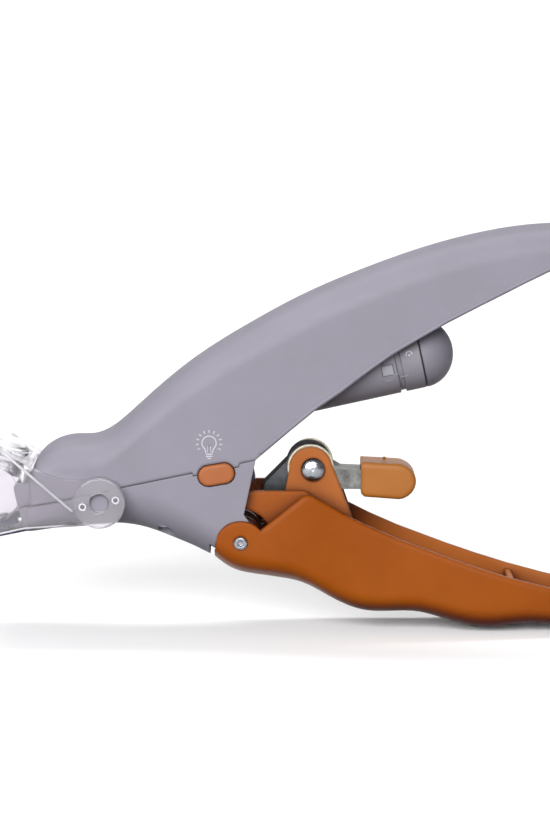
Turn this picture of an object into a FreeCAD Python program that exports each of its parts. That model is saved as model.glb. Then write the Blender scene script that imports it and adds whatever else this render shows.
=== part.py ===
import FreeCAD, Part
import math
import os
import Sketcher

# LED pet nail trimmer: grey handle-and-head shells, sprung orange lever, sliding blade,
# clear flip-up magnifier hood, battery tube and handle lock.
# Frame: +X from the nose to the handle tips, +Z up, Y = 0 is the plane of symmetry.
# The near side (button side) is at -Y.

Vec = FreeCAD.Vector
Rot = FreeCAD.Rotation
Place = FreeCAD.Placement

os.makedirs("parts", exist_ok=True)
doc = FreeCAD.newDocument("nail_trimmer")

# ---------------------------------------------------------------- driving sizes
SIZES = [
    ("wall", 2.0, "shell wall"),
    ("panel_outer", 10.6, "outer half width of the lever's inner panels"),
    ("panel_inner", 9.0, "inner half width of the lever's inner panels"),
    ("ear_outer", 7.8, "outer half width over the lock ears"),
    ("ear_inner", 5.6, "inner half width between the lock ears"),
    ("arm_outer", 5.4, "outer half width over the drive arms"),
    ("arm_inner", 3.4, "inner half width between the drive arms"),
    ("crown_radius", 30.0, "radius of the soft crown across the grips"),
    ("pivot_x", -14.75, "lever pivot"),
    ("pivot_z", 23.5, "lever pivot"),
    ("pivot_pin_radius", 1.5, "lever pivot screw shank"),
    ("pivot_head_radius", 1.65, "lever pivot screw head"),
    ("lock_x", 3.15, "lock pivot"),
    ("lock_z", 40.7, "lock pivot"),
    ("lock_pin_radius", 1.5, "lock rivet shank"),
    ("lock_head_radius", 3.0, "lock rivet dome"),
    ("hub_x", -49.5, "hood pivot"),
    ("hub_z", 33.6, "hood pivot"),
    ("hub_boss_radius", 2.25, "grey hub boss"),
    ("hub_disc_radius", 6.35, "clear hub disc"),
    ("running_gap", 0.08, "radial play of the running fits"),
    ("hood_outer", 15.0, "half width over the hood cheeks"),
    ("hood_inner", 13.4, "half width inside the hood"),
    ("disc_outer", 16.6, "half width over the hub discs"),
    ("stake_radius", 0.8, "heat stakes of the hub discs"),
    ("stake_reach", 4.15, "stake distance from the hub axis"),
    ("blade_travel", 5.92, "blade stroke"),
    ("arm_reach", 15.5, "drive pin distance from the lever pivot"),
    ("drive_pin_radius", 1.5, "drive pin"),
    ("carrier_thick", 1.0, "blade carrier strip"),
    ("carrier_half", 5.0, "half width of the carrier strip"),
    ("flange_inner", 3.8, "inner half width of the carrier's front flanges"),
    ("plate_thick", 0.5, "ring plate"),
    ("plate_half", 8.0, "half width of the ring plate"),
    ("nail_hole_half_width", 4.2, "nail hole, half width across"),
    ("nail_hole_length", 5.2, "nail hole, length along the stroke"),
    ("blade_thick", 1.85, "blade"),
    ("tube_radius", 8.6, "battery tube, outside"),
    ("tube_bore", 6.15, "battery tube, inside"),
    ("cap_radius", 8.6, "battery cap"),
    ("cap_dome", 8.0, "height of the cap's dome"),
    ("cell_radius", 5.8, "button cell"),
    ("cell_height", 5.4, "button cell"),
    ("button_length", 9.0, "lamp button"),
    ("button_height", 5.1, "lamp button"),
    ("button_gap", 0.25, "gap around the lamp button"),
    ("lens_radius", 8.0, "magnifier lens"),
    ("lamp_radius", 1.5, "lamp dome"),
    ("boss_root", 10.8, "inner end of the hub bosses"),
    ("boss_tip", 14.85, "outer end of the hub bosses"),
    ("hood_mid", 14.6, "root of the stakes and ridges on the hood's cheeks"),
    ("stake_tip", 16.55, "outer end of the heat stakes"),
    ("ridge_tip", 15.35, "outer face of the hood's ridges"),
    ("lock_inner", 4.0, "inner half width of the lock lever"),
    ("lock_outer", 5.0, "outer half width of the lock lever"),
    ("tab_inner", 1.9, "inner half width of the carrier's tabs"),
    ("tab_outer", 2.9, "outer half width of the carrier's tabs"),
]
sheet = doc.addObject("Spreadsheet::Sheet", "sizes")
VALUE = {}
for row, (alias, number, note) in enumerate(SIZES, start=1):
    sheet.set("A%d" % row, note)
    sheet.set("B%d" % row, str(number))
    sheet.setAlias("B%d" % row, alias)
    VALUE[alias] = number
next_row = len(SIZES) + 1


def add_size(alias, number, note):
    """Add one more driving size to the sheet."""
    global next_row
    sheet.set("A%d" % next_row, note)
    sheet.set("B%d" % next_row, str(number))
    sheet.setAlias("B%d" % next_row, alias)
    VALUE[alias] = number
    next_row += 1


PIVOT = Vec(VALUE["pivot_x"], 0, VALUE["pivot_z"])
LOCK = Vec(VALUE["lock_x"], 0, VALUE["lock_z"])
HUB = Vec(VALUE["hub_x"], 0, VALUE["hub_z"])

# The parting line of the two body shells rises towards the rear.
SEAM_SLOPE = 0.2075
SEAM_REAR = (-11.05, 43.75)


def seam_height(x):
    """Height of the parting line at x."""
    return SEAM_REAR[1] + SEAM_SLOPE * (x - SEAM_REAR[0])


# The slide frame: origin at the nose, x towards the rear along the stroke, z square to it.
SLIDE_ORIGIN = Vec(-67.5, 0, 28.6)
SLIDE_DIRECTION = Vec(0.98, 0, 0.199)
SLIDE_DIRECTION.normalize()
SLIDE_TURN = Rot(Vec(1, 0, 0), SLIDE_DIRECTION)
SLIDE = Place(SLIDE_ORIGIN, SLIDE_TURN)
PIVOT_ON_SLIDE = SLIDE.inverse().multVec(PIVOT)
TILT = math.asin(VALUE["blade_travel"] / 2 / VALUE["arm_reach"])
DRIVE_ON_SLIDE = PIVOT_ON_SLIDE + Vec(math.sin(TILT), 0, math.cos(TILT)) * VALUE["arm_reach"]
DRIVE = SLIDE.multVec(DRIVE_ON_SLIDE)

# The tube frame: origin near the cap's seam, z along the tube towards the cap.
TUBE_ORIGIN = Vec(28.2, 0, 68.5)
TUBE_DIRECTION = Vec(0.977, 0, 0.215)
TUBE_DIRECTION.normalize()
TUBE = Place(TUBE_ORIGIN, Rot(Vec(0, 1, 0), math.degrees(math.atan2(0.977, 0.215))))


# ---------------------------------------------------------------- small helpers
def bind(thing, path, expression):
    """Bind a property to a formula in the sheet's aliases, written as <alias>."""
    words = expression
    for alias in sorted(VALUE, key=len, reverse=True):
        words = words.replace("<" + alias + ">", "sizes." + alias)
    thing.setExpression(path, words)


def new_body(name, placement=None):
    """A named body; its placement is the frame the piece is drawn in."""
    body = doc.addObject("PartDesign::Body", name)
    body.Label = name
    if placement is not None:
        body.Placement = placement
    return body


def origin_plane(body, role):
    for feature in body.Origin.OriginFeatures:
        if feature.Role == role:
            return feature
    raise ValueError(role)


def new_sketch(body, role, offset=0.0, name="outline", turn=None, at=None):
    """A sketch on one of the body's planes, moved by offset along the plane's normal."""
    sketch = body.newObject("Sketcher::SketchObject", body.Name + "_" + name)
    sketch.AttachmentSupport = [(origin_plane(body, role), "")]
    sketch.MapMode = "FlatFace"
    shift = at if at is not None else Vec(0, 0, offset)
    sketch.AttachmentOffset = Place(shift, turn if turn is not None else Rot())
    return sketch


def pin_points(sketch, first, points):
    """Hold the start point of each segment at its place."""
    for number, (px, py) in enumerate(points):
        sketch.addConstraint(Sketcher.Constraint("DistanceX", -1, 1, first + number, 1, px))
        sketch.addConstraint(Sketcher.Constraint("DistanceY", -1, 1, first + number, 1, py))


def polygon(sketch, points):
    """A closed polygon with every corner held."""
    first = sketch.GeometryCount
    count = len(points)
    for number in range(count):
        a = Vec(points[number][0], points[number][1], 0)
        b = Vec(points[(number + 1) % count][0], points[(number + 1) % count][1], 0)
        sketch.addGeometry(Part.LineSegment(a, b))
    for number in range(count):
        sketch.addConstraint(
            Sketcher.Constraint("Coincident", first + number, 2, first + (number + 1) % count, 1)
        )
    pin_points(sketch, first, points)


def circle(sketch, centre, radius_formula):
    """A circle whose radius is bound to the sheet."""
    number = sketch.addGeometry(Part.Circle(Vec(centre[0], centre[1], 0), Vec(0, 0, 1), 1.0))
    sketch.addConstraint(Sketcher.Constraint("DistanceX", -1, 1, number, 3, centre[0]))
    sketch.addConstraint(Sketcher.Constraint("DistanceY", -1, 1, number, 3, centre[1]))
    which = sketch.addConstraint(Sketcher.Constraint("Radius", number, 1.0))
    bind(sketch, "Constraints[%d]" % which, radius_formula)


def smooth_outline(sketch, points, corners):
    """A closed outline: smooth curves through the points, broken at the numbered corners."""
    count = len(points)
    first = sketch.GeometryCount
    ends = list(corners) + [corners[0] + count]
    for start, stop in zip(ends, ends[1:]):
        run = [Vec(*points[k % count], 0) for k in range(start, stop + 1)]
        if len(run) == 2:
            sketch.addGeometry(Part.LineSegment(run[0], run[1]))
        else:
            curve = Part.BSplineCurve()
            curve.interpolate(run)
            sketch.addGeometry(curve)
    pieces = sketch.GeometryCount - first
    for number in range(pieces):
        sketch.addConstraint(
            Sketcher.Constraint("Coincident", first + number, 2, first + (number + 1) % pieces, 1)
        )
        sketch.addConstraint(Sketcher.Constraint("Block", first + number))


def extrude(body, kind, sketch, length, symmetric=False, reverse=False, name="pad"):
    """Pad or Pocket a sketch; length is a formula or a number."""
    feature = body.newObject("PartDesign::" + kind, body.Name + "_" + name)
    feature.Profile = sketch
    feature.Type = "Length"
    if symmetric:
        feature.SideType = "Symmetric"
    feature.Reversed = reverse
    if isinstance(length, str):
        bind(feature, "Length", length)
    else:
        feature.Length = length
    sketch.Visibility = False
    body.Tip = feature
    return feature


def side_plates(body, kind, draw, inner, outer, name):
    """The same outline on both sides, from half width inner to half width outer."""
    for side, label in ((-1, "near"), (1, "far")):
        sketch = new_sketch(body, "XZ_Plane", -side * VALUE[inner], name + "_" + label)
        bind(sketch, "AttachmentOffset.Base.z", "%d * <%s>" % (-side, inner))
        draw(sketch)
        # the plane's normal points to -Y, so the near plate grows along it
        extrude(body, kind, sketch, "<%s> - <%s>" % (outer, inner), reverse=(side == 1) ==
                (kind == "Pad"), name=name + "_" + label + "_solid")


def revolve(body, points, name="turned", kind="Revolution"):
    """Turn an outline of (radius, height) about the body's Z axis."""
    sketch = new_sketch(body, "XZ_Plane", 0, name)
    polygon(sketch, points)
    feature = body.newObject("PartDesign::" + kind, body.Name + "_" + name + "_solid")
    feature.Profile = sketch
    feature.ReferenceAxis = (sketch, ["V_Axis"])
    feature.Angle = 360
    body.Tip = feature
    return feature


def fillet(body, edges, radius, name="rounding"):
    """Round the named edges of the body's tip."""
    base = body.Tip
    feature = body.newObject("PartDesign::Fillet", body.Name + "_" + name)
    feature.Base = (base, edges)
    feature.Radius = radius
    body.Tip = feature
    return feature


def find_edges(body, test):
    """Names of the tip's edges for which test(edge) is true."""
    doc.recompute()
    found = []
    for number, edge in enumerate(body.Tip.Shape.Edges, start=1):
        if test(edge):
            found.append("Edge%d" % number)
    if not found:
        raise ValueError("no edge found in " + body.Label)
    return found


def channel_section(body, name, tag, x, top, rim, half, corner, crown, big, upside_down=False):
    """One cross-section of a grip channel: flat rim, upright sides, round shoulders, soft crown.

    x, top, rim, half, corner are aliases; crown is the formula of the crown radius and big its value.
    Upside down for the lower shells.
    """
    flip = -1.0 if upside_down else 1.0
    sketch = body.newObject("Sketcher::SketchObject", "%s_%s_%s" % (body.Name, name, tag))
    sketch.AttachmentSupport = [(origin_plane(body, "YZ_Plane"), "")]
    sketch.MapMode = "FlatFace"
    turn = Rot(Vec(0, 0, 1), 180) if upside_down else Rot()
    sketch.AttachmentOffset = Place(Vec(0, 0, VALUE[x]), turn)
    bind(sketch, "AttachmentOffset.Base.z", "<%s>" % x)
    w, r = VALUE[half], VALUE[corner]
    zt, zr = flip * VALUE[top], flip * VALUE[rim]
    zc = zt - big + math.sqrt((big - r) ** 2 - (w - r) ** 2)
    lean = math.atan2(zc - (zt - big), w - r)
    up = Vec(0, 0, 1)
    side = Part.LineSegment(Vec(w, zr, 0), Vec(w, zc, 0))
    other = Part.LineSegment(Vec(-w, zc, 0), Vec(-w, zr, 0))
    right = Part.ArcOfCircle(Part.Circle(Vec(w - r, zc, 0), up, r), 0, lean)
    middle = Part.ArcOfCircle(Part.Circle(Vec(0, zt - big, 0), up, big), lean, math.pi - lean)
    left = Part.ArcOfCircle(Part.Circle(Vec(r - w, zc, 0), up, r), math.pi - lean, math.pi)
    base = Part.LineSegment(Vec(-w, zr, 0), Vec(w, zr, 0))
    sketch.addGeometry([base, side, right, middle, left, other])
    joined = [
        Sketcher.Constraint("Coincident", 0, 2, 1, 1),
        Sketcher.Constraint("Tangent", 1, 2, 2, 1),
        Sketcher.Constraint("Tangent", 2, 2, 3, 1),
        Sketcher.Constraint("Tangent", 3, 2, 4, 1),
        Sketcher.Constraint("Tangent", 4, 2, 5, 1),
        Sketcher.Constraint("Coincident", 5, 2, 0, 1),
        Sketcher.Constraint("Symmetric", 0, 1, 0, 2, -2),
        Sketcher.Constraint("Vertical", 1),
        Sketcher.Constraint("Vertical", 5),
        Sketcher.Constraint("PointOnObject", 3, 3, -2),
        Sketcher.Constraint("Equal", 2, 4),
    ]
    sketch.addConstraint(joined)
    sized = [
        (Sketcher.Constraint("DistanceX", -1, 1, 0, 2, w), "<%s>" % half),
        (Sketcher.Constraint("DistanceY", -1, 1, 0, 2, zr), "%d * <%s>" % (flip, rim)),
        (Sketcher.Constraint("DistanceY", -1, 1, 3, 3, zt - big),
         "%d * <%s> - (%s)" % (flip, top, crown)),
        (Sketcher.Constraint("Radius", 2, r), "<%s>" % corner),
        (Sketcher.Constraint("Radius", 3, big), crown),
    ]
    for constraint, formula in sized:
        which = sketch.addConstraint(constraint)
        bind(sketch, "Constraints[%d]" % which, formula)
    sketch.Visibility = False
    return sketch


def channel(body, name, stations, upside_down=False, hollow=False):
    """Loft a grip channel through its stations (x, top, rim, half width, corner radius)."""
    big = VALUE["crown_radius"] - (VALUE["wall"] if hollow else 0)
    crown = "<crown_radius> - <wall>" if hollow else "<crown_radius>"
    sections = []
    for number, station in enumerate(stations):
        tag = chr(ord("a") + number)
        aliases = []
        for word, amount in zip(("x", "top", "rim", "half", "corner"), station):
            alias = "_".join((body.Name, name, tag, word))
            add_size(alias, round(amount, 3), "%s station %s" % (body.Label, tag))
            aliases.append(alias)
        sections.append(channel_section(body, name, tag, *aliases, crown, big, upside_down))
    kind = "SubtractiveLoft" if hollow else "AdditiveLoft"
    loft = body.newObject("PartDesign::" + kind, "%s_%s" % (body.Name, name))
    loft.Profile = sections[0]
    loft.Sections = sections[1:]
    loft.Ruled = False
    body.Tip = loft
    return loft


def inset(stations, depth, side=1):
    """The same stations moved inwards by the wall; side is 1 for a roof, -1 for a floor."""
    inner = []
    last = len(stations) - 1
    for number, (x, top, rim, half, corner) in enumerate(stations):
        before = stations[max(number - 1, 0)]
        after = stations[min(number + 1, last)]
        run, rise = after[0] - before[0], after[1] - before[1]
        length = math.hypot(run, rise)
        dx, dz = side * rise / length * depth, -side * run / length * depth
        inner.append((x + dx, top + dz, rim - side * 2.0, half - depth, max(corner - depth, 0.8)))
    return inner


# ---------------------------------------------------------------- upper housing
# head dome, then the long bowed grip; the loft is trimmed to the parting line and the rim
RIM = [(-11.05, 43.85), (-2.15, 51.4), (4.05, 56.5), (9.95, 60.5), (14.35, 63.9), (18.75, 67.2),
       (22.45, 69.7), (28.75, 73.6), (36.25, 77.8), (43.95, 81.8), (48.75, 84.2), (55.0, 87.4),
       (60.75, 90.2), (68.0, 92.9), (75.0, 94.5), (81.0, 95.0), (89.5, 94.6)]
UPPER = [
    (-66.9, 39.3, 28.0, 11.3, 3.2), (-66.1, 41.8, 28.0, 12.0, 4.0), (-64.6, 44.2, 28.5, 12.4, 4.6),
    (-62.4, 46.2, 29.0, 12.7, 5.2), (-59.4, 47.7, 30.0, 12.9, 5.6), (-55.5, 48.4, 31.0, 13.0, 6.0),
    (-51.5, 48.5, 32.0, 13.0, 6.0), (-47.5, 50.0, 33.0, 13.0, 6.0), (-42.5, 53.9, 34.0, 13.0, 6.2),
    (-36.0, 59.8, 35.0, 13.0, 6.6), (-26.0, 67.9, 37.0, 13.0, 7.0), (-13.0, 76.1, 40.0, 13.0, 7.2),
    (0.0, 83.2, 48.0, 12.8, 7.2), (14.0, 89.3, 60.0, 12.5, 7.0), (30.0, 95.1, 71.0, 12.2, 6.6),
    (46.0, 99.3, 80.0, 12.0, 6.2), (60.0, 101.2, 87.5, 11.7, 5.6), (72.0, 100.9, 91.0, 10.9, 4.6),
    (81.0, 99.0, 92.5, 9.2, 3.2), (88.0, 96.4, 93.0, 6.0, 1.4),
]
upper = new_body("upper_housing")
channel(upper, "grip", UPPER)
nose = new_sketch(upper, "XZ_Plane", 0, "nose")
polygon(nose, [(-60.0, 30.0), (-60.0, 38.4), (-70.2, 37.5), (-71.0, 36.6), (-69.6, 30.0)])
extrude(upper, "Pad", nose, 20.0, symmetric=True, name="nose_block")
HOLLOW = inset(UPPER, VALUE["wall"])
HOLLOW[-1] = (85.6, 95.5, 91.0, 4.4, 0.8)
channel(upper, "hollow", HOLLOW, hollow=True)

# everything below the parting line and the grip's rim goes
GAP = 0.2
trim = new_sketch(upper, "XZ_Plane", 0, "trim")
SEAM_STEPS = [(-75.0, 0.0), (-26.6, 0.0), (-26.4, -0.8), (-15.1, -0.8), (-14.9, 0.0), (-11.05, 0.0)]
seam_points = [(x, seam_height(x) + drop + GAP) for x, drop in SEAM_STEPS]
below = [(95.0, 94.6), (95.0, 10.0), (-75.0, 10.0)]
polygon(trim, seam_points[:-1] + RIM + below)
extrude(upper, "Pocket", trim, 60.0, symmetric=True, name="trim_cut")

# two ribs that hold the battery tube, saddled round it
for number, rib_x in enumerate((4.0, 20.0)):
    rib = new_sketch(upper, "YZ_Plane", rib_x, "rib_%d" % number)
    along = (rib_x - TUBE_ORIGIN.x) / TUBE_DIRECTION.x
    axis_z = TUBE_ORIGIN.z + TUBE_DIRECTION.z * along
    roof = 84.3 if number == 0 else 91.0
    reach, saddle = 11.2, VALUE["tube_radius"] + 0.55
    base_z = axis_z + 1.0
    spread = math.sqrt(saddle ** 2 - 1.0)
    lean = math.asin(1.0 / saddle)
    rib.addGeometry([
        Part.LineSegment(Vec(spread, base_z, 0), Vec(reach, base_z, 0)),
        Part.LineSegment(Vec(reach, base_z, 0), Vec(reach, roof - 3.4, 0)),
        Part.LineSegment(Vec(reach, roof - 3.4, 0), Vec(7.4, roof - 0.6, 0)),
        Part.LineSegment(Vec(7.4, roof - 0.6, 0), Vec(-7.4, roof - 0.6, 0)),
        Part.LineSegment(Vec(-7.4, roof - 0.6, 0), Vec(-reach, roof - 3.4, 0)),
        Part.LineSegment(Vec(-reach, roof - 3.4, 0), Vec(-reach, base_z, 0)),
        Part.LineSegment(Vec(-reach, base_z, 0), Vec(-spread, base_z, 0)),
        Part.ArcOfCircle(Part.Circle(Vec(0, axis_z, 0), Vec(0, 0, 1), saddle), lean,
                         math.pi - lean),
    ])
    for piece in range(8):
        rib.addConstraint(Sketcher.Constraint("Block", piece))
    extrude(upper, "Pad", rib, "<wall>", symmetric=True, name="rib_%d_pad" % number)

# screw bosses, hanging from the roof down to the parting line
SCREWS = [(-33.2, 7.8, 23.4), (-57.5, 7.8, 25.65)]
HEAD_SEAT = 4.6


def boss_posts(body, role, bottom, top, radius, name, kind="Pad"):
    """Upright round posts (or holes) at the four screw places between two heights."""
    for number, (x, y, floor) in enumerate(SCREWS):
        low, high = bottom(x, floor), top(x, floor)
        sketch = new_sketch(body, role, low, "%s_%d" % (name, number))
        circle(sketch, (x, y), radius)
        circle(sketch, (x, -y), radius)
        extrude(body, kind, sketch, high - low, reverse=(kind == "Pocket"),
                name="%s_%d_solid" % (name, number))


boss_posts(upper, "XY_Plane", lambda x, f: seam_height(x) + 0.55,
           lambda x, f: seam_height(x) + 9.0, "2.2", "screw_boss")
boss_posts(upper, "XY_Plane", lambda x, f: seam_height(x) + 0.1,
           lambda x, f: seam_height(x) + 7.0, "0.95", "screw_hole", kind="Pocket")

# hole for the lamp in the nose, wider where its flange sits
for start, radius, reach in ((-75.0, "<lamp_radius> + 0.12", 16.0), (-65.6, "<lamp_radius> + 0.45", 6.0)):
    lamp_hole = new_sketch(upper, "YZ_Plane", start, "lamp_hole")
    circle(lamp_hole, (0.0, 35.1), radius)
    extrude(upper, "Pocket", lamp_hole, reach, reverse=True, name="lamp_hole_cut")


def pill(sketch, centre, angle, length, height):
    """A pill outline, held as drawn."""
    r = height / 2
    reach = length / 2 - r
    cx, cz = centre
    c, s = math.cos(angle), math.sin(angle)

    def at(u, v):
        return Vec(cx + u * c - v * s, cz + u * s + v * c, 0)

    up = Vec(0, 0, 1)
    sketch.addGeometry([
        Part.LineSegment(at(-reach, -r), at(reach, -r)),
        Part.ArcOfCircle(Part.Circle(at(reach, 0), up, r), angle - math.pi / 2,
                         angle + math.pi / 2),
        Part.LineSegment(at(reach, r), at(-reach, r)),
        Part.ArcOfCircle(Part.Circle(at(-reach, 0), up, r), angle + math.pi / 2,
                         angle + 3 * math.pi / 2),
    ])
    for piece in range(4):
        sketch.addConstraint(Sketcher.Constraint("Block", piece))


BUTTON_AT = (-20.7, 40.25)
BUTTON_TILT = math.radians(9.5)


def button_hole(body):
    gap = VALUE["button_gap"]
    sketch = new_sketch(body, "XZ_Plane", 10.0, "button_hole")
    pill(sketch, BUTTON_AT, BUTTON_TILT, VALUE["button_length"] + 2 * gap,
         VALUE["button_height"] + 2 * gap)
    extrude(body, "Pocket", sketch, 8.0, reverse=True, name="button_hole_cut")


button_hole(upper)

# ---------------------------------------------------------------- lower housing
LOWER = [
    (-67.6, 24.2, 40.0, 12.0, 5.0), (-64.0, 24.7, 40.0, 12.6, 5.6), (-59.5, 25.4, 40.0, 12.9, 7.6),
    (-54.0, 26.0, 42.0, 13.0, 9.2), (-47.5, 26.4, 44.0, 13.0, 10.0), (-42.0, 26.1, 45.0, 13.0, 10.2),
    (-37.0, 24.9, 46.0, 13.0, 10.4), (-32.0, 23.0, 47.0, 13.0, 10.4), (-27.0, 20.9, 48.0, 13.0, 10.0),
    (-21.7, 18.3, 49.0, 13.0, 8.8), (-15.0, 15.6, 50.0, 13.0, 7.4), (-8.0, 13.6, 51.0, 13.0, 6.0),
]
lower = new_body("lower_housing")
channel(lower, "shell", LOWER, upside_down=True)
nose = new_sketch(lower, "XZ_Plane", 0, "nose")
polygon(nose, [(-60.0, 27.4), (-60.0, 40.0), (-72.0, 40.0), (-69.9, 31.7), (-68.2, 25.5)])
extrude(lower, "Pad", nose, 20.0, symmetric=True, name="nose_block")
FLOOR = inset(LOWER, VALUE["wall"], side=-1)
FLOOR[0] = (-65.4, 26.6, 44.0, 10.2, 3.0)
channel(lower, "hollow", FLOOR, upside_down=True, hollow=True)

trim = new_sketch(lower, "XZ_Plane", 0, "trim")
WIDE_STEPS = [(-75.0, -0.25), (-56.6, -0.25), (-56.3, 0.0)] + SEAM_STEPS[1:]
top_line = [(x, seam_height(x) + drop) for x, drop in WIDE_STEPS]
around = []
for degrees in range(-20, -181, -16):
    turn = math.radians(degrees)
    around.append((PIVOT.x + 2.7 * math.cos(turn), PIVOT.z + 2.7 * math.sin(turn)))
rear = [(-13.95, 30.1), (-11.4, 26.6)] + around
keep_out = rear + [(-20.9, 22.9), (-21.0, 18.4), (-21.0, 5.0), (5.0, 5.0), (5.0, 60.0), (-75.0, 60.0)]
polygon(trim, top_line + keep_out)
extrude(lower, "Pocket", trim, 60.0, symmetric=True, name="trim_cut")

# the floor stops short of the lever's inner panels
mouth = new_sketch(lower, "XZ_Plane", 0, "mouth")
polygon(mouth, [(-22.4, 10.0), (-22.4, 27.0), (-5.0, 27.0), (-5.0, 10.0)])
extrude(lower, "Pocket", mouth, 22.0, symmetric=True, name="mouth_cut")

# blade window through the nose, from the ring plate's seat up to the carrier
window = new_sketch(lower, "XZ_Plane", 0, "window")
plate_top = -2.67
seat = plate_top - VALUE["plate_thick"]
corners = [(-8.0, seat), (5.0, seat), (5.0, 2.3), (-8.0, 2.3)]
corners = [SLIDE.multVec(Vec(u, 0, w)) for u, w in corners]
polygon(window, [(corner.x, corner.z) for corner in corners])
extrude(lower, "Pocket", window, "2 * <plate_half> + 0.5", symmetric=True, name="window_cut")

# seat for the ring plate's tail, with its rivet holes
tail_seat = new_sketch(lower, "XZ_Plane", 0, "tail_seat")
corners = [SLIDE.multVec(Vec(u, 0, w)) for u, w in ((4.0, seat), (18.15, seat), (18.15, -1.2), (4.0, -1.2))]
polygon(tail_seat, [(corner.x, corner.z) for corner in corners])
extrude(lower, "Pocket", tail_seat, 9.4, symmetric=True, name="tail_seat_cut")
PLATE_RIVETS = [(9.5, -2.6), (9.5, 2.6)]
rivet_seat = new_sketch(lower, "XY_Plane", 0, "rivet_seat", turn=SLIDE.Rotation,
                        at=SLIDE.multVec(Vec(0, 0, -4.42)))
for place in PLATE_RIVETS:
    circle(rivet_seat, place, "0.76")
extrude(lower, "Pocket", rivet_seat, 2.0, reverse=True, name="rivet_seat_cut")

boss_posts(lower, "XY_Plane", lambda x, f: f + 3.2, lambda x, f: seam_height(x) - 0.45, "2.3",
           "screw_boss")
boss_posts(lower, "XY_Plane", lambda x, f: f - 6.0, lambda x, f: f + HEAD_SEAT, "2.05", "head_pocket",
           kind="Pocket")
boss_posts(lower, "XY_Plane", lambda x, f: f + 3.0, lambda x, f: seam_height(x) + 1.0, "1.15",
           "shank_hole", kind="Pocket")
side_plates(lower, "Pad", lambda s: circle(s, (HUB.x, HUB.z), "<hub_boss_radius>"), "boss_root",
            "boss_tip", "hub_boss")
pivot_hole = new_sketch(lower, "XZ_Plane", 0, "pivot_hole")
circle(pivot_hole, (PIVOT.x, PIVOT.z), "<pivot_pin_radius> + 0.02")
extrude(lower, "Pocket", pivot_hole, 40.0, symmetric=True, name="pivot_hole_cut")
button_hole(lower)

# ---------------------------------------------------------------- lever
BOSS_RADIUS = 6.0
LEVER = [
    (-21.2, 18.0, 40.0, 15.2, 3.6), (-18.5, 15.9, 40.0, 15.2, 4.2), (-13.5, 13.9, 40.0, 15.2, 4.4),
    (-7.5, 13.0, 42.0, 15.2, 4.4), (-2.5, 12.2, 42.0, 15.0, 4.4), (2.5, 10.5, 42.0, 14.4, 4.4),
    (7.5, 7.7, 40.0, 13.6, 4.4), (12.5, 5.3, 38.0, 12.9, 4.4), (18.8, 4.0, 34.0, 12.4, 4.4),
    (26.0, 4.1, 30.0, 12.2, 4.4), (31.0, 3.6, 28.0, 12.2, 4.4), (36.0, 2.1, 25.0, 12.2, 4.4),
    (41.0, 0.7, 23.0, 12.2, 4.4), (46.5, 0.0, 21.0, 12.2, 4.4), (52.0, 0.45, 19.0, 12.1, 4.2),
    (57.5, 0.9, 18.0, 11.9, 4.0), (63.0, 0.6, 16.0, 11.6, 3.6), (71.0, 0.3, 14.0, 10.9, 3.0),
    (79.0, 1.2, 12.0, 9.4, 2.2), (85.0, 3.1, 11.0, 7.4, 1.4), (88.0, 4.6, 10.5, 5.6, 0.9),
]
lever = new_body("lever_handle")
channel(lever, "grip", LEVER, upside_down=True)
HOLLOW = inset(LEVER, 1.85, side=-1)
HOLLOW[0] = (-23.0, 20.6, 42.0, 13.35, 2.0)
HOLLOW[1] = (-18.9, 17.9, 42.0, 13.35, 2.4)
HOLLOW[-1] = (86.0, 5.7, 12.0, 4.0, 0.8)
HOLLOW[-2] = (83.2, 4.4, 13.0, 5.6, 0.8)
channel(lever, "hollow", HOLLOW, upside_down=True, hollow=True)
trim = new_sketch(lever, "XZ_Plane", 0, "trim")
boss_line = []
for degrees in range(180, 34, -12):
    turn = math.radians(degrees)
    boss_line.append((PIVOT.x + BOSS_RADIUS * math.cos(turn), PIVOT.z + 0.88 * BOSS_RADIUS * math.sin(turn)))
LEVER_RIM = [(-9.3, 27.0), (0.6, 34.9), (1.9, 35.2), (3.2, 34.8), (11.1, 30.0), (17.5, 26.8),
             (24.8, 23.6), (37.2, 18.9), (44.7, 16.3), (53.0, 13.7), (61.8, 11.4), (70.0, 9.4),
             (78.0, 7.9), (84.0, 7.2), (95.0, 7.0)]
polygon(trim, [(-30.0, 60.0), (-30.0, 21.0), (-21.0, 21.0)] + boss_line + LEVER_RIM + [(95.0, 60.0)])
extrude(lever, "Pocket", trim, 60.0, symmetric=True, name="trim_cut")

PANEL = [(8.0, 31.0), (5.0, 33.2), (1.2, 35.7), (-13.0, 35.7), (-17.2, 33.0), (-20.2, 26.5),
         (-20.3, 21.5), (-19.2, 19.0), (-14.0, 16.7), (-6.0, 15.4), (2.0, 13.3), (8.0, 10.2)]
side_plates(lever, "Pad", lambda s: polygon(s, PANEL), "panel_inner", "panel_outer", "panel")


def arc_points(centre, radius, first, last, step):
    """Points along an arc, angles in degrees."""
    count = max(1, round(abs(last - first) / step))
    points = []
    for number in range(count + 1):
        turn = math.radians(first + (last - first) * number / count)
        points.append((centre.x + radius * math.cos(turn), centre.z + radius * math.sin(turn)))
    return points


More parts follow.
